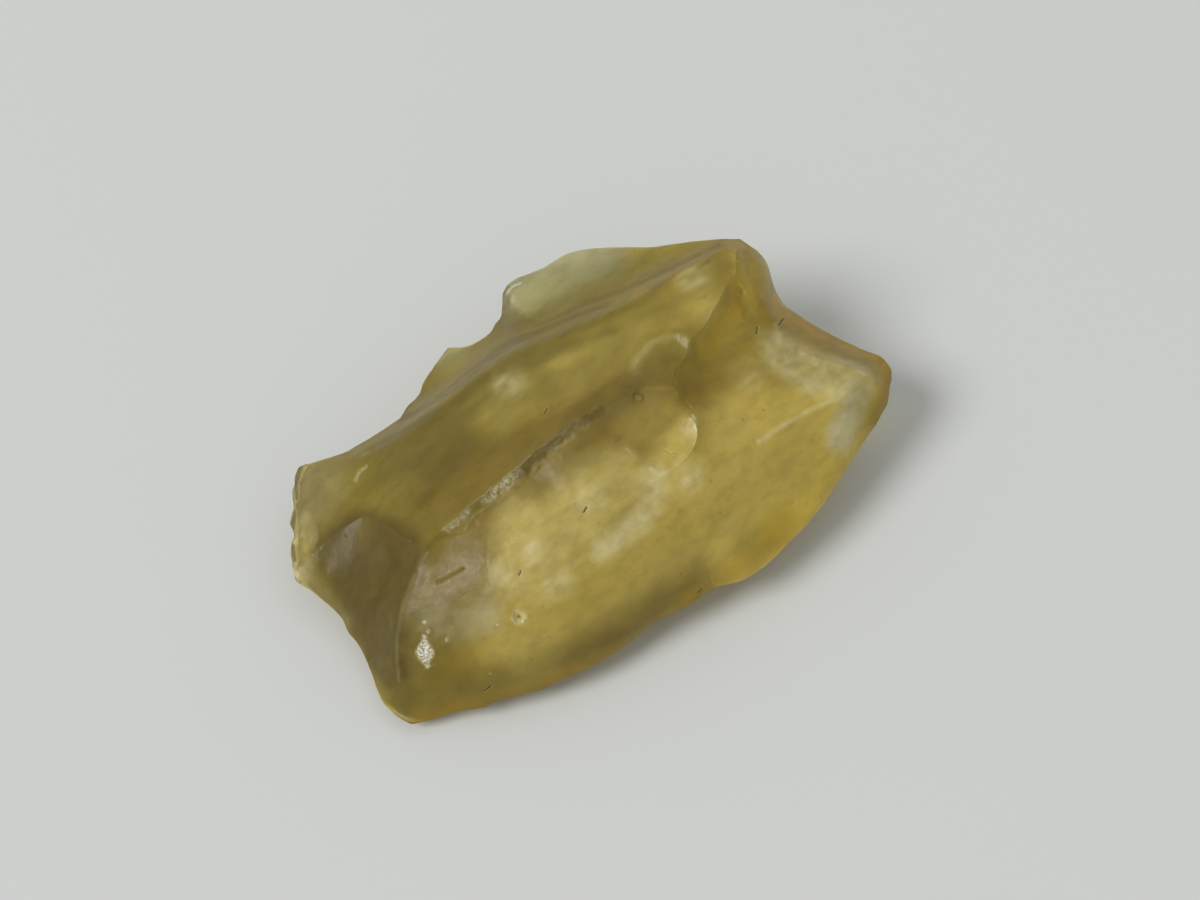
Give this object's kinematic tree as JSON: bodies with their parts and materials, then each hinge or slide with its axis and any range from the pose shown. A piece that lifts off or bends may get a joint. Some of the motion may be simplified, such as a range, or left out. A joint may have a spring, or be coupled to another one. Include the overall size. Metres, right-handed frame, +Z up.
{
  "type": "raw desert glass",
  "caption": "Raw chunk of translucent yellow-brown natural glass with conchoidal faces, a stepped ledge, a thin back flange and a flat fracture face to rest on.",
  "frame": {"origin": "middle of the bounding box seen from above, at the height of the resting face", "axes": "+X along the stone's long side towards the pointed prow, +Y towards the thin back flange, +Z up"},
  "size_m": [0.0508, 0.0334, 0.0169],
  "materials": {
    "glass": "translucent yellow to olive-brown glass, wind-frosted satin surface with milky clouds"
  },
  "bodies": {
    "root": {"desert_glass": "glass"}
  },
  "joints": []
}
